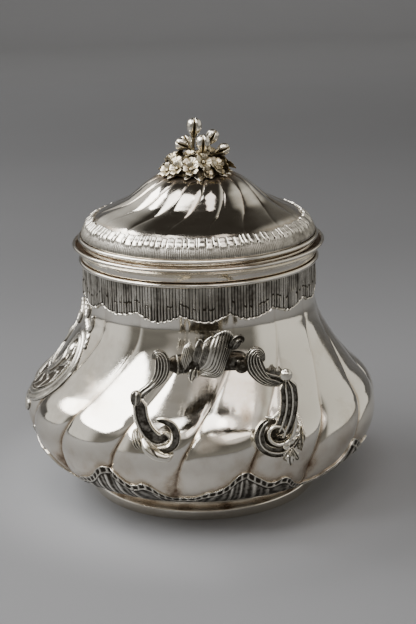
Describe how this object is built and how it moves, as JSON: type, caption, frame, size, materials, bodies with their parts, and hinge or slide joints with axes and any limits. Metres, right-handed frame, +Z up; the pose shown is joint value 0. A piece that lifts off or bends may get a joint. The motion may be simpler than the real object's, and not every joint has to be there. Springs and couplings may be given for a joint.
{
  "type": "covered sugar bowl",
  "caption": "Pear-shaped silver sugar bowl with swirled lobes, foot ring, two leafy scroll handles and a loose domed lid with a flower finial.",
  "frame": {"origin": "on the surface the bowl stands on, under the middle of the bowl", "axes": "+Z up; the two handles are on +X and -X; the one cartouche faces -Y"},
  "size_m": [0.1818, 0.1576, 0.165],
  "materials": {
    "polished_silver": "hand-polished silver sheet, faint swirl scratches, light warm tarnish in the valleys",
    "chased_silver": "chased silver relief, dark oxide in the grooves and bright polished edges",
    "cast_silver": "cast and chased silver, dark crevices, worn bright ridges",
    "gilt_tinged_silver": "cast silver, satin, with traces of old yellow lacquer in the crevices"
  },
  "bodies": {
    "bowl": {"foot_ring": "polished_silver", "bowl_body": "polished_silver", "lower_border": "chased_silver", "neck_band": "chased_silver", "rim_bead": "polished_silver", "rim_moulding": "polished_silver", "cartouche": "chased_silver", "handle_right_slim_arm": "cast_silver", "handle_right_stout_arm": "cast_silver", "handle_right_bridge": "cast_silver", "handle_right_crest_leaf": "cast_silver", "handle_right_slim_foot": "cast_silver", "handle_right_stout_foot": "cast_silver", "handle_left_slim_arm": "cast_silver", "handle_left_stout_arm": "cast_silver", "handle_left_bridge": "cast_silver", "handle_left_crest_leaf": "cast_silver", "handle_left_slim_foot": "cast_silver", "handle_left_stout_foot": "cast_silver"},
    "lid": {"lid_dome": "polished_silver", "lid_border": "chased_silver", "lid_wire": "polished_silver", "lid_bezel": "polished_silver", "finial_mound": "gilt_tinged_silver", "finial_flowers": "gilt_tinged_silver", "finial_stems": "gilt_tinged_silver", "finial_buds": "gilt_tinged_silver", "finial_stud": "polished_silver", "finial_washer": "polished_silver", "finial_nut": "polished_silver"}
  },
  "joints": [
    {"name": "lid_lift", "type": "slide", "parent": "bowl", "child": "lid", "axis": [0, 0, 1], "range_m": [0, 0.05]}
  ]
}
